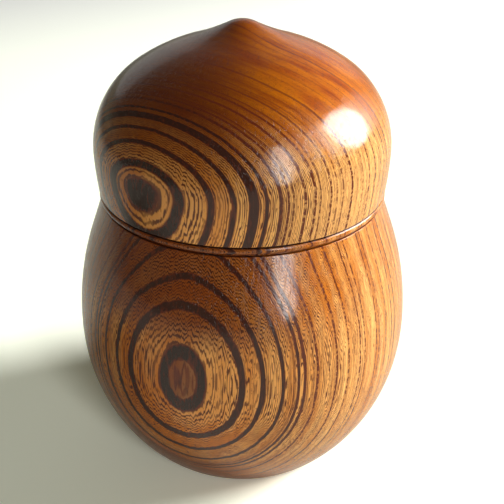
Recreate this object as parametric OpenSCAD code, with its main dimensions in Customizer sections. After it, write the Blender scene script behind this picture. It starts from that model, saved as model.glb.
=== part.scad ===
// Chestnut-shaped turned wooden tea caddy: a round-bellied body with an upstanding
// inner lip, and a domed lid that lifts straight up off that lip.
// Both pieces are turned on the lathe about the Z axis. Units are millimetres.
// The origin is the centre of the foot, and +Z points up to the tip of the lid.

/* [Body] */
// Diameter of the body at its widest place
belly_d = 75; // [60:1:95]
// Height of that widest place above the foot
belly_z = 30.6; // [24:0.2:36]
// Height of the ledge that carries the lid
ledge_z = 64; // [52:0.5:80]
// Radius of the curve from the belly down to the foot
lower_arc_r = 45.6; // [42:0.2:60]
// Radius of the curve from the belly up to the straight neck
upper_arc_r = 66.5; // [50:0.5:67]
// Slope of the straight neck, in degrees from upright
neck_lean = 20.6; // [12:0.2:22]
// Rounding of the edge of the foot
foot_edge_r = 3.8; // [1:0.2:5]
// Diameter of the shallow hollow turned in the underside
foot_hollow_d = 36; // [20:1:40]
// Depth of that hollow
foot_hollow_depth = 0.8; // [0.3:0.1:1.5]

/* [Bead and groove under the lid] */
// Height of the half-round bead at the top of the neck
bead_h = 1.6; // [1:0.1:2.6]
// How far the bead stands out from the neck
bead_out = 0.4; // [0.2:0.1:1]
// Width of the fine groove cut under the bead
groove_w = 0.4; // [0.2:0.1:0.8]
// Depth of that groove
groove_depth = 0.5; // [0.2:0.1:1]

/* [Lip and inside of the body] */
// Height of the lip that stands up inside the lid
lip_h = 8; // [5:0.2:10]
// Thickness of the lip
lip_t = 2; // [1.5:0.1:2.8]
// Rounding of the lip's two upper edges
lip_edge_r = 0.5; // [0.2:0.1:0.7]
// Thickness of the body's wall
wall = 3.5; // [2.5:0.1:4.5]
// Thickness of the body's floor
floor_t = 5; // [3.5:0.5:8]
// Rounding of the corner between the floor and the wall inside
floor_corner_r = 9; // [5:0.5:12]

/* [Lid] */
// Width of the flat ring of the lid that rests on the ledge
seat_w = 2.4; // [1.8:0.1:3]
// Rounding of the lid's lower outer edge
rim_edge_r = 0.5; // [0.3:0.1:0.8]
// How far the lid swells out beyond its lower edge
lid_swell = 0.4; // [0.2:0.1:1.5]
// Height of the lid's widest place above its lower edge
lid_swell_z = 8.4; // [6:0.2:12]
// Radius of the lid's shoulder
lid_shoulder_r = 20; // [16:0.5:26]
// Angle through which the shoulder curves before the flatter crown begins
lid_shoulder_turn = 57.4; // [50:0.2:65]
// Play between the lid and the lip, on the radius
lid_play = 0.06; // [0.03:0.01:0.1]
// How far the lid's straight bore goes on above the top of the lip
lip_gap = 0.4; // [0.2:0.1:1]

/* [Tip of the lid] */
// Height of the tip above the crown it rises from
tip_h = 2.4; // [1.5:0.1:3.5]
// Radius of the rounded end of the tip
tip_r = 6.5; // [4:0.5:8]
// Radius of the hollow curve that leads from the crown up to the tip
tip_flare_r = 60; // [40:1:80]

/* [Hidden] */
$fn = 240;
arc_step = 2.5;
wood_dark = [0.40, 0.17, 0.05];
wood_light = [0.62, 0.30, 0.08];

// Body: the belly, the straight neck and the bead
belly_r = belly_d / 2;
lower_c = [belly_r - lower_arc_r, belly_z];
upper_c = [belly_r - upper_arc_r, belly_z];
neck_start = on_circle(upper_c, upper_arc_r, neck_lean);
neck_z = ledge_z - bead_h - groove_w;
neck_r = neck_start[0] - (neck_z - neck_start[1]) * tan(neck_lean);
bead_tube_r = bead_h / 2;
bead_r = neck_r + bead_out;
bead_c = [bead_r - bead_tube_r, ledge_z - bead_tube_r];

// Lid: what rests on the ledge and what slides over the lip
rim_r = bead_r;
bore_r = rim_r - rim_edge_r - seat_w;
lip_r = bore_r - lid_play;
mouth_r = lip_r - lip_t;
lid_r = rim_r + lid_swell;
lid_wide_z = ledge_z + lid_swell_z;
lid_wall = lid_r - bore_r;
bore_top_z = ledge_z + lip_h + lip_gap;
inner_lift = [0, bore_top_z - lid_wide_z];
side_rise = lid_swell_z - rim_edge_r;
side_r = (pow(side_rise, 2) + pow(lid_swell, 2)) / (2 * lid_swell);
shoulder_c = [lid_r - lid_shoulder_r, lid_wide_z];
crown_r = lid_shoulder_r + (lid_r - lid_shoulder_r) / cos(lid_shoulder_turn);
crown_c = [0, lid_wide_z - (crown_r - lid_shoulder_r) * sin(lid_shoulder_turn)];

// Tip: its hollow curve touches the crown below and the rounded end above
total_h = crown_c[1] + crown_r + tip_h;
end_c = [0, total_h - tip_r];
to_crown = crown_r + tip_flare_r;
to_end = tip_r + tip_flare_r;
flare_z = (pow(to_crown, 2) - pow(to_end, 2)) / (2 * (end_c[1] - crown_c[1]))
        + (crown_c[1] + end_c[1]) / 2;
flare_c = [sqrt(pow(to_end, 2) - pow(flare_z - end_c[1], 2)), flare_z];
crown_end_a = atan2(flare_c[1] - crown_c[1], flare_c[0]);
tip_start_a = atan2(flare_c[1] - end_c[1], flare_c[0]);

function on_circle(c, r, a) = c + r * [cos(a), sin(a)];

// Points along an arc about c, from angle a0 to angle a1
function arc(c, r, a0, a1) =
    let (n = ceil(abs(a1 - a0) / arc_step))
    [for (i = [0 : n]) on_circle(c, r, a0 + (a1 - a0) * i / n)];

// The round corner between a flat base and the lower arc of the vessel,
// as its centre and the angle at which the two curves meet
function corner_c(arc_r, base_z, r) =
    let (rise = belly_z - base_z - r)
    [lower_c[0] + sqrt(pow(arc_r - r, 2) - pow(rise, 2)), base_z + r];
function corner_a(arc_r, base_z, r) = asin((belly_z - base_z - r) / (arc_r - r));

// One half of the body's section: the outside upwards, the lip, then the inside downwards
module body_section() {
    foot_a = corner_a(lower_arc_r, 0, foot_edge_r);
    floor_a = corner_a(lower_arc_r - wall, floor_t, floor_corner_r);
    lip_top = ledge_z + lip_h - lip_edge_r;
    neck_in = on_circle(upper_c, upper_arc_r - wall, neck_lean);
    mouth_z = neck_in[1] + (neck_in[0] - mouth_r) / tan(neck_lean);
    polygon(concat(
        [[0, foot_hollow_depth], [foot_hollow_d / 2, foot_hollow_depth], [foot_hollow_d / 2, 0]],
        arc(corner_c(lower_arc_r, 0, foot_edge_r), foot_edge_r, -90, -foot_a),
        arc(lower_c, lower_arc_r, -foot_a, 0),
        arc(upper_c, upper_arc_r, 0, neck_lean),
        [[neck_r, neck_z], [neck_r - groove_depth, neck_z]],
        [[neck_r - groove_depth, neck_z + groove_w]],
        arc(bead_c, bead_tube_r, -90, 90),
        [[lip_r, ledge_z]],
        arc([lip_r - lip_edge_r, lip_top], lip_edge_r, 0, 90),
        arc([mouth_r + lip_edge_r, lip_top], lip_edge_r, 90, 180),
        [[mouth_r, mouth_z]],
        arc(upper_c, upper_arc_r - wall, neck_lean, 0),
        arc(lower_c, lower_arc_r - wall, 0, -floor_a),
        arc(corner_c(lower_arc_r - wall, floor_t, floor_corner_r), floor_corner_r, -floor_a, -90),
        [[0, floor_t]]
    ));
}

// One half of the lid's section: the rim, the outside up to the tip, then the inside down
module lid_section() {
    side_a = asin(side_rise / side_r);
    polygon(concat(
        [[bore_r, ledge_z]],
        arc([rim_r - rim_edge_r, ledge_z + rim_edge_r], rim_edge_r, -90, 0),
        arc([lid_r - side_r, lid_wide_z], side_r, -side_a, 0),
        arc(shoulder_c, lid_shoulder_r, 0, lid_shoulder_turn),
        arc(crown_c, crown_r, lid_shoulder_turn, crown_end_a),
        arc(flare_c, tip_flare_r, crown_end_a + 180, tip_start_a + 180),
        arc(end_c, tip_r, tip_start_a, 90),
        arc(crown_c + inner_lift, crown_r - lid_wall, 90, lid_shoulder_turn),
        arc(shoulder_c + inner_lift, lid_shoulder_r - lid_wall, lid_shoulder_turn, 0)
    ));
}

module caddy_body() {
    color(wood_dark) rotate_extrude() body_section();
}

module caddy_lid() {
    color(wood_light) rotate_extrude() lid_section();
}

caddy_body();
caddy_lid();
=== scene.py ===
# %% [markdown]
# # A turned wooden tea caddy
# The caddy is two pieces of one ring-porous wood, turned on a lathe and rubbed with
# amber lacquer: a round-bellied body with a thin upstanding lip, and a domed lid with
# a small pointed tip that lifts straight up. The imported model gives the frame, and this
# lesson builds the two turned shells, their wood, the light and the camera round it.

# %% Load the frame
import math

import bmesh
import bpy
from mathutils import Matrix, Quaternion, Vector


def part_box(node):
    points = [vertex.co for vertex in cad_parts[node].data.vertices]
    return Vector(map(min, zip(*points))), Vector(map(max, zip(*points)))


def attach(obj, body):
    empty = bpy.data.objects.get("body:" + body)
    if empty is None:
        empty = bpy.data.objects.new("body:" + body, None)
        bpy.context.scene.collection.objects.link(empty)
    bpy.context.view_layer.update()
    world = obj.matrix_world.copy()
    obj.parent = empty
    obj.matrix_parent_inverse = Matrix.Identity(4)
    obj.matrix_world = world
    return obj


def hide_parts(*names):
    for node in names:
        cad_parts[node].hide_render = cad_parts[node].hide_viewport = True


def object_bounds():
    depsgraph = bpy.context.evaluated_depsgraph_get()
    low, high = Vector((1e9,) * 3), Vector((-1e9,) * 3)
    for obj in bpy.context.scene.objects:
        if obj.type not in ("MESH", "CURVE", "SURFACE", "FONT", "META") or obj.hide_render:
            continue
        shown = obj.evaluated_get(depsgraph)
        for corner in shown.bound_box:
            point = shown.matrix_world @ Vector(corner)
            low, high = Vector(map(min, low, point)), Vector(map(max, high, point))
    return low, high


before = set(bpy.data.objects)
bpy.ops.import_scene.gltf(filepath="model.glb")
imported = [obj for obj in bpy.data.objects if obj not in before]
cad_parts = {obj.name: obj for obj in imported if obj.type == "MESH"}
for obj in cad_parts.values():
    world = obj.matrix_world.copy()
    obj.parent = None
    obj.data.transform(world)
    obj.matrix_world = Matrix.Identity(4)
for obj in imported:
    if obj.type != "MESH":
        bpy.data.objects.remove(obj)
cad_low, cad_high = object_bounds()
body_low, body_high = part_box("caddy_body")
lid_low, lid_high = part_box("caddy_lid")
MM = 0.001

# %% [markdown]
# ## The outline of a turned piece
# A turner works from a half section: the outline on one side of the axis. It could be
# traced as a free curve, but real lathe work is arcs run into each other, so each stretch
# is an arc or a straight line, and every sharp corner is broken by a small rounding.
# The sizes that the frame gives are read from it, and the rest repeat the construction's.

# %% Sizes of the body and the lid, in millimetres
belly_r = min(body_high.x, body_high.y, -body_low.x, -body_low.y) / MM
lip_top_z = body_high.z / MM
ledge_z = lid_low.z / MM
lid_r = min(lid_high.x, lid_high.y, -lid_low.x, -lid_low.y) / MM
total_h = lid_high.z / MM

belly_z = 30.6
lower_arc_r = 45.6
upper_arc_r = 66.5
neck_lean = 20.6
foot_edge_r = 3.8
foot_hollow_r = 18.0
foot_hollow_depth = 0.8
wall = 3.5
floor_t = 5.0
floor_corner_r = 9.0

bead_h = 1.6
groove_w = 0.4
groove_depth = 0.5
lid_swell = 0.4
rim_w = 2.9
lip_play = 0.06
lip_w = 2.0
edge_r = 0.5
rim_r = lid_r - lid_swell
bore_r = rim_r - rim_w
lip_r = bore_r - lip_play
mouth_r = lip_r - lip_w

lid_wide_rise = 8.4
lid_wide_z = ledge_z + lid_wide_rise
shoulder_r = 20.0
shoulder_turn = 57.4
tip_r = 6.5
tip_flare_r = 60.0
print("radii of the belly, rim and lip", [round(r, 2) for r in (belly_r, rim_r, lip_r)])

# %% [markdown]
# ## Arcs, lines and whole outlines
# An outline is a list of points, each a radius and a height. Arcs are cut into short
# even steps. A straight line needs few points, but it gets one close to each of its ends:
# smooth shading spreads a corner's shade as far as the next point, and these hold it to
# a crisp edge. A Bevel modifier would do the same, but not in an outline.

# %% Arcs, lines and outlines
ARC_STEP = 2.0
TOUCHING = 1e-4


def arc(centre, radius, start, end, step=ARC_STEP):
    """Points along an arc, with angles in degrees from the horizontal."""
    count = max(2, math.ceil(abs(end - start) / step))
    angles = [math.radians(start + (end - start) * i / count) for i in range(count + 1)]
    return [(centre[0] + radius * math.cos(a), centre[1] + radius * math.sin(a)) for a in angles]


def line(start, end, longest=1.5, hold=0.12):
    """Points along a straight stretch, with one close to each end to keep the corner crisp."""
    length = math.dist(start, end)
    count = max(1, math.ceil(length / longest))
    shares = {i / count for i in range(1, count)}
    if length > 3 * hold:
        shares |= {hold / length, 1 - hold / length}
    return [tuple(a + (b - a) * s for a, b in zip(start, end)) for s in sorted(shares)]


def joined(*stretches):
    """One outline from its stretches, with straight lines run between them."""
    points = list(stretches[0])
    for stretch in stretches[1:]:
        if math.dist(points[-1], stretch[0]) > TOUCHING:
            points += line(points[-1], stretch[0])
            points += stretch
        else:
            points += stretch[1:]
    return points


print("a quarter of the belly's round is", len(arc((0, 0), belly_r, 0, 90)), "points")

# %% [markdown]
# ## The body's outline
# From the shallow hollow under the foot the outline runs out over the rounded foot, up
# the belly in two arcs, along the straight neck, over the bead that marks the seam, and
# up the lip. Then it comes back down inside at an even wall, as a turner hollows it.
# The groove under the bead is cut with a pointed tool, so it is a small vee. A spline
# through a few points would bulge between them, and arcs of known radius don't.

# %% Body outline
lower_c = (belly_r - lower_arc_r, belly_z)
upper_c = (belly_r - upper_arc_r, belly_z)
lean = math.radians(neck_lean)
neck_start = arc(upper_c, upper_arc_r, 0, neck_lean)[-1]
neck_z = ledge_z - bead_h - groove_w
neck_r = neck_start[0] - (neck_z - neck_start[1]) * math.tan(lean)
bead_c = (rim_r - bead_h / 2, ledge_z - bead_h / 2)


def corner(arc_r, base_z, radius):
    """Centre of the rounding between a flat base and the lower arc, and where they meet."""
    rise = belly_z - base_z - radius
    x = lower_c[0] + math.sqrt((arc_r - radius) ** 2 - rise ** 2)
    return (x, base_z + radius), math.degrees(math.asin(rise / (arc_r - radius)))


foot_c, foot_a = corner(lower_arc_r, 0, foot_edge_r)
floor_c, floor_a = corner(lower_arc_r - wall, floor_t, floor_corner_r)
hollow_flat_r = foot_hollow_r - 1.2
hollow_corner_r = 0.25
hollow_edge_r = 0.35
groove_edge_r = 0.14
lip_root_r = 0.15
body_outside = joined(
    [(0, foot_hollow_depth), (hollow_flat_r, foot_hollow_depth)],
    arc((foot_hollow_r - 0.2, foot_hollow_depth - hollow_corner_r), hollow_corner_r, 90, 20, 20),
    arc((foot_hollow_r + hollow_edge_r, hollow_edge_r), hollow_edge_r, 180, 270, 15),
    arc(foot_c, foot_edge_r, -90, -foot_a, 6),
    arc(lower_c, lower_arc_r, -foot_a, 0),
    arc(upper_c, upper_arc_r, 0, neck_lean, 1),
    arc((neck_r - 0.12, neck_z - groove_edge_r), groove_edge_r, neck_lean, 75, 18),
    [(neck_r - groove_depth, neck_z + groove_w / 2)],
    arc(bead_c, bead_h / 2, -65, 90, 9),
    [(lip_r + 0.25, ledge_z)],
    arc((lip_r + lip_root_r, ledge_z + lip_root_r), lip_root_r, 270, 180, 30),
    arc((lip_r - edge_r, lip_top_z - edge_r), edge_r, 0, 90, 11),
)
neck_in = arc(upper_c, upper_arc_r - wall, 0, neck_lean)[-1]
mouth_z = neck_in[1] + (neck_in[0] - mouth_r) / math.tan(lean)
body_inside = joined(
    arc((mouth_r + edge_r, lip_top_z - edge_r), edge_r, 90, 180, 11),
    [(mouth_r, mouth_z + 0.6)],
    [(mouth_r + 0.12, mouth_z - 0.4)],
    arc(upper_c, upper_arc_r - wall, neck_lean, 0),
    arc(lower_c, lower_arc_r - wall, 0, -floor_a),
    arc(floor_c, floor_corner_r, -floor_a, -90, 5),
    [(0, floor_t)],
)
print("body outline points", len(body_outside), "outside,", len(body_inside), "inside")

# %% [markdown]
# ## The lid's outline
# The lid swells a little above its edge, turns over a tight shoulder into a flatter
# crown, and a hollow curve leads up to the rounded tip. The crown's centre is on the
# axis, which makes the dome close smoothly. Inside, a straight bore slides over the
# lip, and the dome follows the outside at an even wall.

# %% Lid outline
lid_wall = lid_r - bore_r
bore_edge_r = 0.2
turn = math.radians(shoulder_turn)
shoulder_c = (lid_r - shoulder_r, lid_wide_z)
crown_r = shoulder_r + (lid_r - shoulder_r) / math.cos(turn)
crown_c = (0.0, lid_wide_z - (crown_r - shoulder_r) * math.sin(turn))
end_c = (0.0, total_h - tip_r)
to_crown = crown_r + tip_flare_r
to_end = tip_r + tip_flare_r
flare_z = (to_crown ** 2 - to_end ** 2) / (2 * (end_c[1] - crown_c[1]))
flare_z += (crown_c[1] + end_c[1]) / 2
flare_c = (math.sqrt(to_end ** 2 - (flare_z - end_c[1]) ** 2), flare_z)
crown_a = math.degrees(math.atan2(flare_c[1] - crown_c[1], flare_c[0]))
tip_a = math.degrees(math.atan2(flare_c[1] - end_c[1], flare_c[0]))
side_rise = lid_wide_z - ledge_z - edge_r
side_r = (side_rise ** 2 + lid_swell ** 2) / (2 * lid_swell)
side_a = math.degrees(math.asin(side_rise / side_r))

lid_outside = joined(
    arc((rim_r - edge_r, ledge_z + edge_r), edge_r, -90, 0, 11),
    arc((lid_r - side_r, lid_wide_z), side_r, -side_a, 0, 0.5),
    arc(shoulder_c, shoulder_r, 0, shoulder_turn),
    arc(crown_c, crown_r, shoulder_turn, crown_a, 1.5),
    arc(flare_c, tip_flare_r, crown_a + 180, tip_a + 180, 0.6),
    arc(end_c, tip_r, tip_a, 90, 3),
)
lid_inside = joined(
    arc(crown_c, crown_r - lid_wall, 90, shoulder_turn),
    arc(shoulder_c, shoulder_r - lid_wall, shoulder_turn, 0, 3),
    arc((bore_r + bore_edge_r, ledge_z + bore_edge_r), bore_edge_r, 180, 270, 22),
    [(rim_r - edge_r, ledge_z)],
)
print("lid outline points", len(lid_outside), "outside,", len(lid_inside), "inside")

# %% [markdown]
# ## Turning the outlines
# A Screw modifier or a spin could sweep the outline, but writing the rings in bmesh keeps
# an even grid of four-sided faces, closes the axis with a single point, and lets each
# face be told to be outside or inside. The sheet of UV coordinates unrolls the shell:
# once round is its width, and the way along the outline is its height.

# %% Turn a shell
SEGMENTS = 240
ON_AXIS = 1e-6


def turn_shell(name, outside, inside):
    """A closed shell turned about Z from its outside and inside outlines, in millimetres."""
    points = outside + inside if outside[-1][0] < ON_AXIS else joined(outside, inside)
    split = len(outside)
    run = [0.0]
    for a, b in zip(points, points[1:]):
        run.append(run[-1] + math.dist(a, b))
    bm = bmesh.new()
    uv = bm.loops.layers.uv.new("OFBake")
    angles = [math.tau * i / SEGMENTS for i in range(SEGMENTS)]
    rings = []
    for r, z in points:
        if abs(r) < ON_AXIS:
            rings.append([bm.verts.new((0, 0, z * MM))] * SEGMENTS)
        else:
            rings.append([bm.verts.new((r * math.cos(a) * MM, r * math.sin(a) * MM, z * MM))
                          for a in angles])
    closed = len(set(rings[0])) > 1
    spans = list(zip(range(len(points) - 1), range(1, len(points))))
    if closed:
        spans.append((len(points) - 1, 0))
        run.append(run[-1] + math.dist(points[-1], points[0]))
    for low, high in spans:
        v = (run[low] / run[-1], run[low + 1] / run[-1])
        for i in range(SEGMENTS):
            j = (i + 1) % SEGMENTS
            corners = [(rings[low][i], i, v[0]), (rings[low][j], i + 1, v[0])]
            corners += [(rings[high][j], i + 1, v[1]), (rings[high][i], i, v[1])]
            kept = [c for k, c in enumerate(corners) if c[0] is not corners[k - 1][0]]
            if len(kept) < 3:
                continue
            face = bm.faces.new([c[0] for c in kept])
            face.smooth = True
            face.material_index = 0 if low < split else 1
            for loop, c in zip(face.loops, kept):
                loop[uv].uv = (c[1] / SEGMENTS, c[2])
    bmesh.ops.recalc_face_normals(bm, faces=bm.faces)
    mesh = bpy.data.meshes.new(name)
    bm.to_mesh(mesh)
    bm.free()
    obj = bpy.data.objects.new(name, mesh)
    bpy.context.scene.collection.objects.link(obj)
    return obj


print("a ring has", SEGMENTS, "points")

# %% [markdown]
# ## The two shells
# The imported body and lid are right in shape, but their faces are uneven triangles, which
# glossy lacquer shows up. So each is replaced by an evenly turned shell that lies on it.
# A shell rides on the same body as its imported part, so it moves with the joint. They stay
# two objects, as they are two turnings: a lid that shared a mesh with the body could not lift.

# %% Turn the body and the lid
body_shell = turn_shell("body_shell", body_outside, body_inside)
lid_shell = turn_shell("lid_shell", lid_outside, lid_inside)
for shell, node, body, slot in (
    (body_shell, "caddy_body", "body", "body_wood"),
    (lid_shell, "caddy_lid", "lid", "lid_wood"),
):
    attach(shell, body)
    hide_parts(node)
    print(shell.name, len(shell.data.vertices), "vertices", len(shell.data.polygons), "faces")

# %% [markdown]
# ## Where the tree's rings run
# A turned blank keeps the tree's growth rings as nearly round sheets about the pith,
# which lies outside the piece and runs along it. Where the turned surface bulges out
# across a sheet, the ring shows as an oval, and the ovals nest into a bull's eye. So the
# whole figure follows from three facts: where the bull's eye lies, which way the surface
# faces there, and how far behind it the pith is. The two pieces come from different
# places in the blank, so each has its own.

# %% Place the pith of each piece
def pith_frame(eye_azimuth, eye_r, eye_z, eye_tilt, reach):
    """Pith point, axis and sideways direction in mm, from the bull's eye and its reach.

    The azimuth is measured from -Y towards +X, and the tilt is the slope of the rings."""
    a, t = math.radians(eye_azimuth), math.radians(eye_tilt)
    outward = Vector((math.sin(a) * math.cos(t), -math.cos(a) * math.cos(t), math.sin(t)))
    side = Vector((math.cos(a), math.sin(a), 0))
    axis = outward.cross(side).normalized() * -1
    eye = Vector((math.sin(a) * eye_r, -math.cos(a) * eye_r, eye_z))
    return {"Pith": eye - outward * reach, "Axis": axis, "Side": side, "Reach": reach}


body_grain = pith_frame(-18.4, 37.15, 37.3, 5.8, 300.0)
lid_grain = pith_frame(-36.6, 31.04, 73.0, 1.2, 80.0)
print("pith of the body", [round(v, 1) for v in body_grain["Pith"]])
print("pith of the lid", [round(v, 1) for v in lid_grain["Pith"]])

# %% [markdown]
# ## Node helpers
# Materials here are long chains of small sums. They could be drawn in the node editor, but
# in code a few helpers keep each step to one short line: one adds any node and plugs its
# inputs in order, and the others name the steps that come up again and again.

# %% Helpers for shader nodes
def plug(tree, socket, value):
    """Links an output to the socket, or writes a plain value to it."""
    if isinstance(value, bpy.types.NodeSocket):
        tree.links.new(value, socket)
    elif value is not None:
        socket.default_value = value


def add(tree, kind, *values, out=0, **settings):
    """Adds a node, plugs its inputs in order and returns one output."""
    node = tree.nodes.new(kind)
    named = settings.pop("named", {})
    for key, value in settings.items():
        setattr(node, key, value)
    for socket, value in zip(node.inputs, values):
        plug(tree, socket, value)
    for key, value in named.items():
        plug(tree, node.inputs[key], value)
    return node.outputs[out]


def maths(tree, operation, *values):
    """One step of arithmetic."""
    return add(tree, "ShaderNodeMath", *values, operation=operation)


def vector(tree, operation, *values, out=0):
    """One step of vector arithmetic. Output 1 is the number, for a dot product or a length."""
    return add(tree, "ShaderNodeVectorMath", *values, operation=operation, out=out)


def blend(tree, share, first, second):
    """The first colour where share is 0, the second where it is 1, and a mix between."""
    node = tree.nodes.new("ShaderNodeMix")
    node.data_type = "RGBA"
    for key, value in (("Factor_Float", share), ("A_Color", first), ("B_Color", second)):
        plug(tree, next(s for s in node.inputs if s.identifier == key), value)
    return next(s for s in node.outputs if s.identifier == "Result_Color")


def ramp_to(tree, value, low, high):
    """0 below low and 1 above high, with soft ends. It falls instead where low is above high."""
    return add(tree, "ShaderNodeMapRange", value, low, high, 0.0, 1.0,
               interpolation_type="SMOOTHSTEP")


print("node helpers: plug, add, maths, vector, blend, ramp_to")

# %% [markdown]
# ## Node groups
# A node group is a tool that several materials share. Its named inputs are what a maker
# would set for each piece, and its outputs are only masks and coordinates that change over
# the surface, so a group can be checked by itself and placed again with other values.

# %% Helpers for node groups
KINDS = {float: "NodeSocketFloat", tuple: "NodeSocketVector"}


def start_group(name, inputs, outputs):
    """A node group with named inputs, given as name: default, and named outputs."""
    group = bpy.data.node_groups.new(name, "ShaderNodeTree")
    for key, default in inputs.items():
        socket = group.interface.new_socket(key, in_out="INPUT", socket_type=KINDS[type(default)])
        socket.default_value = default
    for key, kind in outputs.items():
        group.interface.new_socket(key, in_out="OUTPUT", socket_type=KINDS[kind])
    source = group.nodes.new("NodeGroupInput").outputs
    sink = group.nodes.new("NodeGroupOutput").inputs
    return group, source, sink


def use_group(tree, group, **values):
    """Places a group in a tree and returns its outputs by name."""
    node = tree.nodes.new("ShaderNodeGroup")
    node.node_tree = group
    for key, value in values.items():
        plug(tree, node.inputs[key.replace("_", " ")], value)
    return node.outputs


print("group sockets:", sorted(KINDS.values()))

# %% [markdown]
# ## Growth: depth below the bull's eye
# This group turns a point of the wood into grain coordinates: how deep it lies under the
# outermost ring sheet that the piece reaches, how far across the grain, and how far along
# it. Real rings wander, so slow noise bends the depth a little away from the eye, and a
# quicker noise that varies only across the grain makes the flame: the small jagged teeth
# that every fine line shows where the surface cuts the sheets at a slant. The dark bands
# take a fifth of the teeth and the fine rows all of them. Stretch makes the innermost
# rings a little taller than the bare sheets would. Cut says how squarely the surface cuts
# across the grain: 1 is pure end grain. Blender's own Wave texture draws rings too, but
# they can't be placed one by one.

# %% Growth group
growth, src, sink = start_group(
    "Growth",
    {"Pith": (0.0, 0.0, 0.0), "Axis": (0.0, 0.0, 1.0), "Side": (1.0, 0.0, 0.0), "Reach": 100.0,
     "Wander": 0.5, "Flame": 0.4, "Stretch": 0.0, "Seed": 0.0},
    {"Depth": float, "Grain": tuple, "Cut": float},
)
coords = add(growth, "ShaderNodeTexCoord", out=3)
point = vector(growth, "SCALE", coords, None, None, 1 / MM)
from_pith = vector(growth, "SUBTRACT", point, src["Pith"])
along = vector(growth, "DOT_PRODUCT", from_pith, src["Axis"], out=1)
across = vector(growth, "DOT_PRODUCT", from_pith, src["Side"], out=1)
square = vector(growth, "DOT_PRODUCT", from_pith, from_pith, out=1)
ring_r = maths(growth, "SQRT",
               maths(growth, "SUBTRACT", square, maths(growth, "MULTIPLY", along, along)))
sheet_depth = maths(growth, "SUBTRACT", src["Reach"], ring_r)
near_eye = ramp_to(growth, sheet_depth, 1.3, 0.3)
pull = maths(growth, "MULTIPLY_ADD", maths(growth, "MULTIPLY", along, along), -0.44,
             maths(growth, "MULTIPLY", across, across))
pull = maths(growth, "MULTIPLY", pull, maths(growth, "MULTIPLY", near_eye, src["Stretch"]))
raw_depth = maths(growth, "ADD", sheet_depth, pull)
shift = add(growth, "ShaderNodeCombineXYZ", src["Seed"], src["Seed"], 0.0)
seeded = vector(growth, "ADD", point, shift)


def grain_noise(tree, where, stretch, scale, detail=1.0, roughness=0.5):
    """Noise between -1 and 1 at a point whose three coordinates are scaled first."""
    spot = vector(tree, "MULTIPLY", where, stretch)
    value = add(tree, "ShaderNodeTexNoise",
                named={"Vector": spot, "Scale": scale, "Detail": detail, "Roughness": roughness})
    return maths(tree, "MULTIPLY_ADD", value, 2.0, -1.0)


loose = maths(growth, "MULTIPLY", ramp_to(growth, raw_depth, 0.2, 3.5), src["Wander"])
slow = grain_noise(growth, seeded, (1.0, 1.0, 0.6), 0.035)
ripple = grain_noise(growth, seeded, (1.0, 1.0, 0.45), 0.22)
bend = maths(growth, "MULTIPLY_ADD", ripple, 0.16, slow)
depth = maths(growth, "MULTIPLY_ADD", bend, loose, raw_depth)
grain = add(growth, "ShaderNodeCombineXYZ", depth, across, along)
teeth = grain_noise(growth, grain, (0.4, 1.0, 0.05), 0.95, 2.0, 0.6)
calm = maths(growth, "MULTIPLY_ADD", ramp_to(growth, raw_depth, 0.2, 1.2), 0.7, 0.3)
fine_depth = maths(growth, "MULTIPLY_ADD", teeth, maths(growth, "MULTIPLY", calm, src["Flame"]), depth)
facing = vector(growth, "DOT_PRODUCT", add(growth, "ShaderNodeTexCoord", out=1), src["Axis"], out=1)
some_teeth = maths(growth, "SUBTRACT", fine_depth, depth)
plug(growth, sink["Depth"], maths(growth, "MULTIPLY_ADD", some_teeth, 0.2, depth))
plug(growth, sink["Grain"], add(growth, "ShaderNodeCombineXYZ", fine_depth, across, along))
plug(growth, sink["Cut"], maths(growth, "ABSOLUTE", facing))
print("group Growth:", len(growth.nodes), "nodes")

# %% [markdown]
# ## Vessels: the fine dark dashes
# Between two dark bands the wood holds thin wavy rows of small vessels, about a fifth of
# a millimetre apart, and open pores that show as short dashes. Both are noise in grain
# coordinates: squeezed in depth, longer across and longest along the grain. The rows
# are broken up by a second noise, because a perfect comb of lines looks printed.

# %% Vessels group
vessels, src, sink = start_group(
    "Vessels",
    {"Grain": (0.0, 0.0, 0.0), "Row Spacing": 0.2, "Broken": 0.5},
    {"Rows": float, "Pores": float},
)
deep = add(vessels, "ShaderNodeSeparateXYZ", src["Grain"], out=0)
turns = maths(vessels, "DIVIDE", maths(vessels, "MULTIPLY", deep, math.tau), src["Row Spacing"])
drift = grain_noise(vessels, src["Grain"], (1.0, 0.35, 0.03), 1.3, 2.0)
comb = maths(vessels, "SINE", maths(vessels, "MULTIPLY_ADD", drift, 2.6, turns))
breaks = grain_noise(vessels, src["Grain"], (2.5, 0.9, 0.06), 1.5, 2.0, 0.6)
mixed = maths(vessels, "MULTIPLY_ADD", maths(vessels, "MULTIPLY", breaks, 4.0), src["Broken"], comb)
patches = ramp_to(vessels, grain_noise(vessels, src["Grain"], (1.0, 0.1, 0.02), 1.6, 1.0), -0.35, 0.1)
rows = maths(vessels, "MULTIPLY", ramp_to(vessels, mixed, -0.2, 0.8),
             maths(vessels, "MULTIPLY_ADD", patches, 0.4, 0.6))
plug(vessels, sink["Rows"], rows)
dashes = grain_noise(vessels, src["Grain"], (2.0, 1.2, 0.28), 3.0, 1.0)
plug(vessels, sink["Pores"], ramp_to(vessels, dashes, 0.2, 0.42))
print("group Vessels:", len(vessels.nodes), "nodes")

# %% [markdown]
# ## Growth bands
# Each growth ring ends in a dark band. One small group draws one band: it is placed once
# for each band near the bull's eye, with its depth, width and strength, like marks on a
# ruler. A colour ramp could hold them all, but it is stored as a short table of steps, and
# would blur edges this fine.

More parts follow.
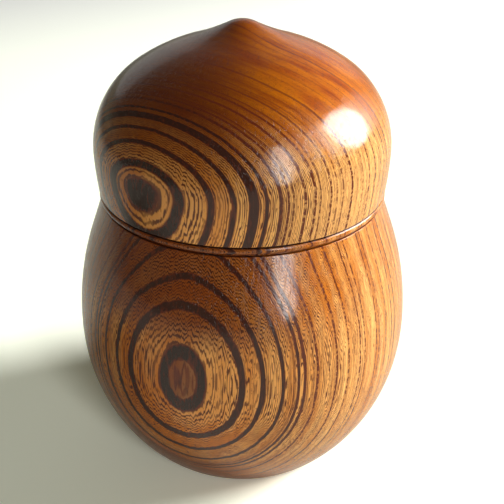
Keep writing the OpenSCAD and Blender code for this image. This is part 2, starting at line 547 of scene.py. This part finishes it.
# %% One placed band
SOFT_MARK = 0.07
band_mark, src, sink = start_group(
    "Band", {"Depth": 0.0, "Middle": 1.0, "Half Width": 0.2, "Strength": 1.0}, {"Band": float})
off = maths(band_mark, "ABSOLUTE", maths(band_mark, "SUBTRACT", src["Depth"], src["Middle"]))
inner = maths(band_mark, "SUBTRACT", src["Half Width"], SOFT_MARK)
outer = maths(band_mark, "ADD", src["Half Width"], SOFT_MARK)
shape = add(band_mark, "ShaderNodeMapRange", off, inner, outer, 1.0, 0.0,
            interpolation_type="SMOOTHSTEP")
plug(band_mark, sink["Band"], maths(band_mark, "MULTIPLY", shape, src["Strength"]))
print("group Band:", len(band_mark.nodes), "nodes")

# %% [markdown]
# ## Deeper rings by formula
# Deeper rings are many and thin, so a second group draws them by counting: the depth is
# divided by a spacing, and each whole number gets its own chance width, place and
# strength from white noise. Its second output says where a ring is a row of dots, as open
# vessels are where they are cut lengthways.

# %% Deep rings group
deep_rings, src, sink = start_group(
    "Deep Rings", {"Depth": 0.0, "Grain": (0.0, 0.0, 0.0), "Spacing": 1.5, "Start": 20.0, "Seed": 0.0},
    {"Band": float, "Dots": float})
SOFT_EDGE = 0.04
count = maths(deep_rings, "DIVIDE", src["Depth"], src["Spacing"])
ring_seed = maths(deep_rings, "ADD", maths(deep_rings, "FLOOR", count), src["Seed"])
chance = add(deep_rings, "ShaderNodeTexWhiteNoise", None, ring_seed, noise_dimensions="1D")
share = maths(deep_rings, "FRACT", count)
start = maths(deep_rings, "MULTIPLY_ADD", chance, -0.35, 0.85)
end = maths(deep_rings, "ADD", start, maths(deep_rings, "MULTIPLY_ADD", chance, 0.1, 0.1))
before = maths(deep_rings, "SUBTRACT", start, SOFT_EDGE)
after = maths(deep_rings, "ADD", end, SOFT_EDGE)
rise = add(deep_rings, "ShaderNodeMapRange", share, before, start, 0.0, 1.0)
fall = add(deep_rings, "ShaderNodeMapRange", share, end, after, 1.0, 0.0)
ring = maths(deep_rings, "MULTIPLY", rise, fall)
ring = maths(deep_rings, "MULTIPLY", ring, maths(deep_rings, "MULTIPLY_ADD", chance, 0.5, 0.4))
full = maths(deep_rings, "ADD", src["Start"], 0.5)
begin = add(deep_rings, "ShaderNodeMapRange", src["Depth"], src["Start"], full)
plug(deep_rings, sink["Band"], maths(deep_rings, "MULTIPLY", ring, begin))
dots = grain_noise(deep_rings, src["Grain"], (0.6, 0.8, 0.6), 2.2, 1.0)
plug(deep_rings, sink["Dots"], add(deep_rings, "ShaderNodeMapRange", dots, -0.25, 0.1, 0.35, 1.0))
print("group Deep Rings:", len(deep_rings.nodes), "nodes")

# %% [markdown]
# ## The colours of the wood
# The lacquer is amber, so the wood under it is never white: the thin-walled cells are
# pale gold, and tan on the shaded side of a ring. End grain drinks the lacquer in and
# turns orange. The bands are nearly black at the heart of the block and redder further
# out. Each colour is written as it looks on screen and turned into linear light.

# %% Colours of the wood
def srgb(r, g, b):
    """A colour as it looks on screen, turned into the linear values that shaders take."""
    def linear(c):
        return c / 12.92 if c <= 0.04045 else ((c + 0.055) / 1.055) ** 2.4
    return [linear(r), linear(g), linear(b), 1.0]


PALE = srgb(0.92, 0.67, 0.37)
TAN = srgb(0.77, 0.43, 0.08)
VESSEL_BROWN = srgb(0.31, 0.115, 0.05)
VESSEL_DARK = srgb(0.22, 0.08, 0.02)
END_GOLD = srgb(0.80, 0.44, 0.01)
END_ORANGE = srgb(0.59, 0.23, 0.01)
BAND_DARK = srgb(0.17, 0.09, 0.07)
BAND_RED = srgb(0.36, 0.14, 0.06)
# Painted shade for the seam under the lid and the groove under the bead.
CREVICE_SHADE = srgb(0.10, 0.04, 0.02)
print("pale wood in linear light", [round(c, 3) for c in PALE[:3]])

# %% [markdown]
# ## All the bands of one piece
# One mask gathers the bands: the placed ones round the bull's eye, the counted ones
# deeper down, and a fainter set at about half their spacing between them. The strongest
# wins, because bands don't add up. Far from the eye the bands break up into dots, except
# on end grain, where a ring of vessels is cut across and looks unbroken.

# %% One mask from all the bands
FAINT_START = 5.0
FAINT_SPACING = 0.55
FAINT_STRENGTH = 0.38
DOTS_FROM, DOTS_FULL = 5.0, 9.0


def ring_mask(tree, g, bands, spacing, seed, end_share):
    """How dark the growth bands are: 0 between them, and their strength within them."""
    deep = use_group(tree, deep_rings, Depth=g["Depth"], Grain=g["Grain"], Spacing=spacing,
                     Start=bands[-1][0] + 1.0, Seed=seed)
    faint = use_group(tree, deep_rings, Depth=g["Depth"], Grain=g["Grain"],
                      Spacing=spacing * FAINT_SPACING, Start=FAINT_START, Seed=seed + 7.0)
    faint_band = maths(tree, "MULTIPLY", faint["Band"], FAINT_STRENGTH)
    mask = maths(tree, "MAXIMUM", deep["Band"], faint_band)
    for middle, width, strength in bands:
        mark = use_group(tree, band_mark, Depth=g["Depth"], Middle=middle,
                         Half_Width=width / 2, Strength=strength)
        mask = maths(tree, "MAXIMUM", mask, mark["Band"])
    dotted = maths(tree, "MULTIPLY", ramp_to(tree, g["Depth"], DOTS_FROM, DOTS_FULL),
                   maths(tree, "SUBTRACT", 1.0, end_share))
    gaps = maths(tree, "MULTIPLY", dotted, maths(tree, "SUBTRACT", 1.0, deep["Dots"]))
    return maths(tree, "MULTIPLY", mask, maths(tree, "SUBTRACT", 1.0, gaps))


print("counted bands start 1 mm below the last placed one, faint ones at", FAINT_START, "mm")

# %% [markdown]
# ## The ground colour
# Between the bands the colour drifts from pale to tan. Two noises in grain coordinates do
# it: one in soft patches, and one that follows the rings and so gives each its own tone.
# The colour also turns tan and dark brown towards the upper left of each piece, partly as
# heartwood does and partly as painted shade on the side away from the window, and its end
# grain is mottled in gold and orange. A painted image could hold all this, but noise in
# grain coordinates meets itself on every side of the piece.

# %% Ground colour, the heart's stain and painted shade
def ramp_mm(tree, value, low, high):
    """A ramp along a direction of the piece, with its limits in millimetres."""
    return ramp_to(tree, value, low * MM, high * MM)


def ground_colour(tree, g, place, tones, end_share):
    """The wood between the bands. Tones are two heights in mm and the tone at each. The tone also
    turns tan towards the left, away from the window, as painted shade.
    """
    x, y, z = place
    low_z, high_z, low_tone, high_tone = tones
    patch_tone = grain_noise(tree, g["Grain"], (0.35, 0.25, 0.06), 0.8, 2.0)
    ring_tone = grain_noise(tree, g["Grain"], (1.0, 0.05, 0.015), 0.6, 3.0, 0.6)
    # Painted shade: the tone turns tan towards the left, away from the window.
    leftward_shade = maths(tree, "MULTIPLY", ramp_mm(tree, x, 14, -6), 0.9)
    climb_and_shade = maths(tree, "MAXIMUM", ramp_mm(tree, z, low_z, high_z), leftward_shade)
    drift = maths(tree, "MULTIPLY_ADD", climb_and_shade, high_tone - low_tone, low_tone)
    ring_tone = maths(tree, "MULTIPLY_ADD", ring_tone, 1.3, drift)
    side_grain = blend(tree, maths(tree, "MULTIPLY_ADD", patch_tone, 0.6, ring_tone), PALE, TAN)
    mottle = grain_noise(tree, g["Grain"], (1.0, 0.16, 0.16), 0.5, 3.0, 0.65)
    end_tone = maths(tree, "MULTIPLY_ADD", mottle, 1.6, 0.45)
    end_grain = blend(tree, end_tone, END_GOLD, END_ORANGE)
    return blend(tree, end_share, side_grain, end_grain)


def heart_and_shade_mask(tree, place, heart_and_shade_z):
    """How much dark colour shows: heartwood stain and painted shade on the upper left, and painted
    shade on the left, away from the window, and low on the left.
    """
    x, y, z = place
    top_stain_and_shade = maths(tree, "MULTIPLY", ramp_mm(tree, z, *heart_and_shade_z), ramp_mm(tree, x, 20, -8))
    # Painted shade on the left, the side away from the window.
    left_shade = maths(tree, "MULTIPLY", ramp_mm(tree, x, -4, -30), 0.4)
    # Painted shade low on the left, by the foot.
    low = maths(tree, "MULTIPLY", ramp_mm(tree, z, 26, 8), ramp_mm(tree, x, 12, -10))
    mask = maths(tree, "MAXIMUM", top_stain_and_shade, left_shade)
    mask = maths(tree, "MAXIMUM", mask, maths(tree, "MULTIPLY", low, 0.8))
    # Stain and painted shade both fade out behind the axis.
    mask = maths(tree, "MULTIPLY", mask, ramp_mm(tree, y, 32, 10))
    paler_edge = maths(tree, "MULTIPLY_ADD", ramp_mm(tree, x, -31, -24), 0.5, 0.5)
    return maths(tree, "MULTIPLY", mask, paler_edge)


print("the stain fades out between 10 and 32 mm behind the axis")

# %% [markdown]
# ## Vessels, bands and painted crevice shade over the ground
# Over the ground go the fine rows of vessels, half as strong on end grain, then the open
# pores, then the bands, whose edges are frayed by a noise that turns them from dark to
# red. Last come the two fine seams, with shade painted into the corner: dark lines
# kept to the outside of the piece. Each step is a mix with its own mask, so any of them
# can be taken out alone.

# %% Layers over the ground
def with_vessels(tree, base, v, heart_and_shade, end_share):
    """Lays the rows of vessels and the open pores over the ground."""
    row_share = maths(tree, "MULTIPLY_ADD", end_share, -0.5, 0.95)
    # The rows turn darker under the heartwood stain and the painted shade.
    row_colour = blend(tree, heart_and_shade, VESSEL_BROWN, VESSEL_DARK)
    base = blend(tree, maths(tree, "MULTIPLY", v["Rows"], row_share), base, row_colour)
    return blend(tree, maths(tree, "MULTIPLY", v["Pores"], 0.65), base, VESSEL_BROWN)


def with_bands(tree, base, g, mask, end_share):
    """Lays the bands on: darkest in their middle and near the eye, fainter on end grain."""
    fray = grain_noise(tree, g["Grain"], (1.5, 0.6, 0.12), 2.2, 2.0, 0.65)
    core = ramp_to(tree, maths(tree, "MULTIPLY_ADD", fray, 0.9, mask), 0.45, 1.0)
    core = maths(tree, "MULTIPLY", core, ramp_to(tree, g["Depth"], 9.0, 5.5))
    near_pith = maths(tree, "MULTIPLY_ADD", ramp_to(tree, g["Depth"], 1.5, 0.9), 0.15, 0.85)
    core = maths(tree, "MULTIPLY", core, near_pith)
    fading = maths(tree, "MULTIPLY_ADD", ramp_to(tree, g["Depth"], 9.0, 18.0), 0.5, 0.05)
    kept = maths(tree, "SUBTRACT", 1.0, maths(tree, "MULTIPLY", end_share, fading))
    share = ramp_to(tree, maths(tree, "MULTIPLY", mask, kept), 0.0, 0.6)
    return blend(tree, share, base, blend(tree, core, BAND_RED, BAND_DARK))


def with_crevice_shade(tree, colour, place):
    """Paints shade into the seam under the lid and the groove under the bead."""
    x, y, z = place
    from_axis = vector(tree, "LENGTH", add(tree, "ShaderNodeCombineXYZ", x, y, 0.0), out=1)
    outside = ramp_mm(tree, from_axis, rim_r - 1.0, rim_r - 0.6)
    for middle, half_width in ((ledge_z, 0.24), (neck_z + groove_w / 2, 0.2)):
        seam_shade = use_group(tree, band_mark, Depth=maths(tree, "DIVIDE", z, MM), Middle=middle,
                         Half_Width=half_width, Strength=0.9)
        share = maths(tree, "MULTIPLY", seam_shade["Band"], outside)
        colour = blend(tree, share, colour, CREVICE_SHADE)
    return colour


print("seams at", round(ledge_z, 2), "and", round(neck_z + groove_w / 2, 2), "mm")

# %% [markdown]
# ## The wood and its lacquer
# The lacquer is wiped on thin and rubbed, so it has no thickness to model: it is the gloss
# of the Principled BSDF itself, with the index of refraction of a varnish and a low
# roughness. A coat over a rougher base was the other choice, and its highlight has a wide
# soft glow that a rubbed finish lacks. The pores stay a little open under it, so they
# dent the surface and break the gloss. The pith, the noise and the tones are given for
# each piece, and everything else is shared.

# %% Wood material
LACQUER_IOR = 1.47
LACQUER_ROUGHNESS = 0.125
PORE_ROUGHNESS = 0.03
PORE_DEPTH = 0.03 * MM
END_FROM, END_FULL = 0.3, 0.85
RING_SPACING = 1.9


def wood(name, grain, bands, seed, wander, flame, stretch, heart_and_shade_z, heart_and_shade_colour, tones):
    """Ring-porous wood under wiped amber lacquer."""
    material = bpy.data.materials.new(name)
    material.use_nodes = True
    tree = material.node_tree
    tree.nodes.clear()
    g = use_group(tree, growth, Pith=grain["Pith"], Axis=grain["Axis"], Side=grain["Side"],
                  Reach=grain["Reach"], Wander=wander, Flame=flame, Stretch=stretch, Seed=seed)
    v = use_group(tree, vessels, Grain=g["Grain"], Row_Spacing=0.17, Broken=0.42)
    spot = add(tree, "ShaderNodeTexCoord", out=3)
    place = [add(tree, "ShaderNodeSeparateXYZ", spot, out=i) for i in range(3)]
    end_share = ramp_to(tree, g["Cut"], END_FROM, END_FULL)
    heart_and_shade = heart_and_shade_mask(tree, place, heart_and_shade_z)
    colour = ground_colour(tree, g, place, tones, end_share)
    # Heartwood stain and painted shade on the upper and left side of the piece.
    colour = blend(tree, maths(tree, "MULTIPLY", heart_and_shade, 0.85), colour, heart_and_shade_colour)
    colour = with_vessels(tree, colour, v, heart_and_shade, end_share)
    mask = ring_mask(tree, g, bands, RING_SPACING, seed, end_share)
    colour = with_bands(tree, colour, g, mask, end_share)
    colour = with_crevice_shade(tree, colour, place)
    relief = maths(tree, "MULTIPLY_ADD", v["Rows"], 0.3, v["Pores"])
    bump = tree.nodes.new("ShaderNodeBump")
    bump.inputs["Strength"].default_value = 0.75
    bump.inputs["Distance"].default_value = PORE_DEPTH
    plug(tree, bump.inputs["Height"], maths(tree, "MULTIPLY", relief, -1.0))
    gloss = maths(tree, "MULTIPLY_ADD", v["Pores"], PORE_ROUGHNESS, LACQUER_ROUGHNESS)
    shader = tree.nodes.new("ShaderNodeBsdfPrincipled")
    shader.inputs["IOR"].default_value = LACQUER_IOR
    plug(tree, shader.inputs["Base Color"], colour)
    plug(tree, shader.inputs["Roughness"], gloss)
    plug(tree, shader.inputs["Normal"], bump.outputs[0])
    output = tree.nodes.new("ShaderNodeOutputMaterial")
    tree.links.new(shader.outputs[0], output.inputs[0])
    print(name, len(tree.nodes), "nodes")
    return material


print("roughness", LACQUER_ROUGHNESS, "to", LACQUER_ROUGHNESS + PORE_ROUGHNESS, "in an open pore")

# %% [markdown]
# ## The rings of each piece
# Each band is three numbers: how deep it lies below the bull's eye and how wide it is, in
# millimetres of depth, and how strong. At the eye the surface lies along the sheets, so a
# small step in depth makes a wide oval there. The lid curves away faster than the body,
# so its ovals crowd together. From a strength of 0.6 up a band is fully dark. Each shell
# has one slot for its outside and one for its inside, and both take the same wood.

# %% The body's and the lid's wood
body_bands = [
    (0.0, 0.36, 0.42), (0.25, 0.25, 1.0), (1.74, 0.40, 1.0), (3.1, 0.34, 1.0), (4.75, 0.32, 0.9),
    (6.3, 0.32, 0.9), (6.95, 0.34, 0.85), (8.5, 0.3, 0.8), (11.4, 0.34, 0.7), (13.5, 0.3, 0.65),
    (15.9, 0.3, 0.6), (17.0, 0.28, 0.6), (20.2, 0.3, 0.6), (21.1, 0.28, 0.55), (23.6, 0.3, 0.6),
]
lid_bands = [
    (0.0, 0.35, 0.95), (0.68, 0.34, 1.0), (1.98, 0.34, 1.0), (3.25, 0.32, 0.95), (4.65, 0.72, 1.0),
    (5.6, 0.32, 0.9), (6.85, 0.34, 0.75), (7.6, 0.3, 0.6), (8.1, 0.2, 0.5), (9.4, 0.36, 0.65),
    (10.6, 0.32, 0.6), (11.3, 0.25, 0.48), (12.8, 0.32, 0.55), (13.7, 0.28, 0.45), (14.7, 0.3, 0.45),
]
body_wood = wood(
    "body_wood", body_grain, body_bands, seed=3.0, wander=0.5, flame=0.5, stretch=0.0033,
    heart_and_shade_z=(41, 50), heart_and_shade_colour=srgb(0.43, 0.16, 0.015), tones=(42, 58, 0.3, 0.75))
lid_wood = wood(
    "lid_wood", lid_grain, lid_bands, seed=11.0, wander=0.4, flame=0.24, stretch=0.0,
    heart_and_shade_z=(64, 90), heart_and_shade_colour=srgb(0.32, 0.115, 0.015), tones=(72, 90, -0.35, 0.75))
for shell, finish in ((body_shell, body_wood), (lid_shell, lid_wood)):
    shell.data.materials.append(finish)
    shell.data.materials.append(finish)
print("placed bands:", len(body_bands), "on the body and", len(lid_bands), "on the lid")

# %% [markdown]
# ## The floor
# The caddy stands on pale matt paper. It throws light back up under the belly, and shows
# the caddy's shadow. Its colour is given for each kind of ray with a Light Path node: the
# viewer sees nearly white paper, with painted shade towards the back left, that ends in a
# white room, the lacquer mirrors a duller one, and the light that it scatters is a little
# dimmer and warmer. It lies a hair below the foot, so that the two faces never fight over
# which is seen.

# %% Floor
FLOOR_SIZE = 4.0
FLOOR_DROP = 0.00005
paper_lit = [0.36, 0.36, 0.26, 1.0]
paper_mirrored = [0.63, 0.62, 0.53, 1.0]
paper_mirrored_far = [0.2, 0.2, 0.18, 1.0]
paper_seen = [1.22, 1.26, 1.08, 1.0]
paper_seen_shaded_behind = [0.62, 0.62, 0.62, 1.0]
paper_seen_far = [4.0, 4.0, 4.0, 1.0]

half = FLOOR_SIZE / 2
floor_mesh = bpy.data.meshes.new("floor")
floor_mesh.from_pydata(
    [(-half, -half, 0), (half, -half, 0), (half, half, 0), (-half, half, 0)], [], [(0, 1, 2, 3)])
floor = bpy.data.objects.new("floor", floor_mesh)
bpy.context.scene.collection.objects.link(floor)
floor.location.z = cad_low.z - FLOOR_DROP
paper = bpy.data.materials.new("pale_floor")
paper.use_nodes = True
sheet = paper.node_tree
sheet.nodes.clear()
ray = sheet.nodes.new("ShaderNodeLightPath").outputs
through_gloss = maths(sheet, "MAXIMUM", ray["Is Glossy Ray"], ray["Is Transmission Ray"])
on_floor = add(sheet, "ShaderNodeTexCoord", out=3)
far = vector(sheet, "LENGTH", on_floor, out=1)
behind = vector(sheet, "DOT_PRODUCT", on_floor, (-0.45, 0.9, 0.0), out=1)
reflected = blend(sheet, ramp_to(sheet, far, 0.35, 0.8), paper_mirrored, paper_mirrored_far)
lit = blend(sheet, through_gloss, paper_lit, reflected)
# Painted shade: the paper seen by the viewer darkens towards the back left, as if the light fell off.
shown = blend(sheet, ramp_to(sheet, behind, 0.1, 0.7), paper_seen, paper_seen_shaded_behind)
shown = blend(sheet, ramp_to(sheet, far, 0.8, 1.5), shown, paper_seen_far)
paper_shader = add(sheet, "ShaderNodeBsdfDiffuse", blend(sheet, ray["Is Camera Ray"], lit, shown))
paper_out = sheet.nodes.new("ShaderNodeOutputMaterial")
sheet.links.new(paper_shader, paper_out.inputs[0])
floor_mesh.materials.append(paper)
print("floor", FLOOR_SIZE, "m wide,", round(FLOOR_DROP / MM, 2), "mm below the foot")

# %% [markdown]
# ## The room
# The world is the room round the table: light near the floor, where walls and window
# sills are, and dim above, so the top of the dome stays deep in colour. In the lacquer
# the walls look dimmer than the light they give, and dimmest behind the viewer, which
# keeps the near side of the belly clear of haze. The viewer sees a white backdrop.

# %% Room
WALL_LOW, WALL_HIGH = 0.02, 0.22
VIEWER_SIDE = (0.15, -0.99, 0.0)
low_room = srgb(0.81, 0.79, 0.61)
dim_room = srgb(0.54, 0.54, 0.46)
dark_room = srgb(0.28, 0.28, 0.25)
high_room = srgb(0.32, 0.32, 0.28)
BACKDROP = [1.0, 1.0, 1.0, 1.0]

world = bpy.data.worlds.new("room")
bpy.context.scene.world = world
world.use_nodes = True
room = world.node_tree
room.nodes.clear()
where = add(room, "ShaderNodeTexCoord", out=0)
height = add(room, "ShaderNodeSeparateXYZ", where, out=2)
towards_viewer = vector(room, "DOT_PRODUCT", where, VIEWER_SIDE, out=1)
ray = room.nodes.new("ShaderNodeLightPath").outputs
mirrored_room = blend(room, ramp_to(room, towards_viewer, 0.8, 0.95), dim_room, dark_room)
walls = blend(room, ray["Is Glossy Ray"], low_room, mirrored_room)
tint = blend(room, ramp_to(room, height, WALL_LOW, WALL_HIGH), walls, high_room)
backdrop = room.nodes.new("ShaderNodeBackground")
plug(room, backdrop.inputs["Color"], blend(room, ray["Is Camera Ray"], tint, BACKDROP))
room_out = room.nodes.new("ShaderNodeOutputWorld")
room.links.new(backdrop.outputs[0], room_out.inputs[0])
print("room", len(room.nodes), "nodes")

# %% [markdown]
# ## Lamps
# One large window low on the right lights the caddy. It is drawn twice, at nearly the same
# place: one lamp gives the light and the soft shadow and isn't mirrored, and the other is
# only mirrored, as the tilted bright pane on the lid's shoulder, because a real window is
# brightest away from its middle. A narrow window near the viewer gives the thin streak
# down the neck and the small highlight on the lid. A wide faint one behind and a small
# patch of bright wall give the sheen on the far sides. Oval area lamps are used, as
# square ones leave corners in a highlight on a round piece.

# %% Lamps
WHITE = (1.0, 1.0, 1.0)


def lamp(name, azimuth, elevation, wide, high, level, colour=WHITE, distance=3.0, turn=0.0):
    """An oval lamp aimed at the middle of the caddy. Azimuth runs from +X towards +Y.

    The level is how bright a white surface facing the lamp looks, wide and high say how
    large the lamp looks from the caddy, and all the angles are in degrees."""
    data = bpy.data.lights.new(name, "AREA")
    data.shape = "ELLIPSE"
    data.size = 2 * distance * math.tan(math.radians(wide / 2))
    data.size_y = 2 * distance * math.tan(math.radians(high / 2))
    data.energy = level * (math.pi * distance) ** 2
    data.color = colour
    obj = bpy.data.objects.new(name, data)
    bpy.context.scene.collection.objects.link(obj)
    a, e = math.radians(azimuth), math.radians(elevation)
    aim = Vector((0, 0, (cad_low.z + cad_high.z) / 2))
    outward = Vector((math.cos(a) * math.cos(e), math.sin(a) * math.cos(e), math.sin(e)))
    obj.location = aim + outward * distance
    aimed = outward.to_track_quat("Z", "Y") @ Quaternion((0, 0, 1), math.radians(turn))
    obj.rotation_euler = aimed.to_euler()
    obj.visible_camera = False
    print(name, "at", [round(v, 3) for v in obj.location])
    return obj


window = lamp("window", 13.5, 20.5, wide=26, high=30, level=2.6, distance=2.4)
window.visible_glossy = False
pane = lamp("window_pane", 6.5, 23.5, wide=29, high=40, level=2.45, distance=2.4, turn=39)
pane.visible_diffuse = False
lamp("side_window", -60, 17, wide=16, high=42, level=0.65, colour=(1.0, 1.0, 0.98))
lamp("far_window", 96, 18, wide=76, high=30, level=0.095)
lamp("bright_wall", 68, 14, wide=26, high=24, level=0.018)

# %% [markdown]
# ## Camera
# The viewer looks down on the caddy at thirty degrees from close by, so the belly narrows
# strongly towards the foot. A longer lens from further off would flatten that. The lens is
# an ordinary one for a full frame sensor, and a small sideways shift keeps the caddy's
# axis upright while it stands a little left of the middle.

# %% Camera
IMAGE_PX = 504
SENSOR_MM = 36.0
VIEW_DISTANCE = 0.170
VIEW_DOWN = math.radians(30.08)
AIM_HEIGHT = 0.04566
FOCAL_PX = 740.2
AXIS_PX = 242.34

eye = bpy.data.cameras.new("eye")
eye.sensor_width = SENSOR_MM
eye.lens = FOCAL_PX * SENSOR_MM / IMAGE_PX
eye.shift_x = (IMAGE_PX / 2 - AXIS_PX) / IMAGE_PX
eye.clip_start = 0.01
camera = bpy.data.objects.new("eye", eye)
bpy.context.scene.collection.objects.link(camera)
away = Vector((0, -math.cos(VIEW_DOWN), math.sin(VIEW_DOWN)))
camera.location = Vector((0, 0, AIM_HEIGHT)) + away * VIEW_DISTANCE
camera.rotation_euler = away.to_track_quat("Z", "Y").to_euler()
bpy.context.scene.camera = camera
bpy.context.scene.view_settings.view_transform = "Standard"
print("lens mm", round(eye.lens, 2))
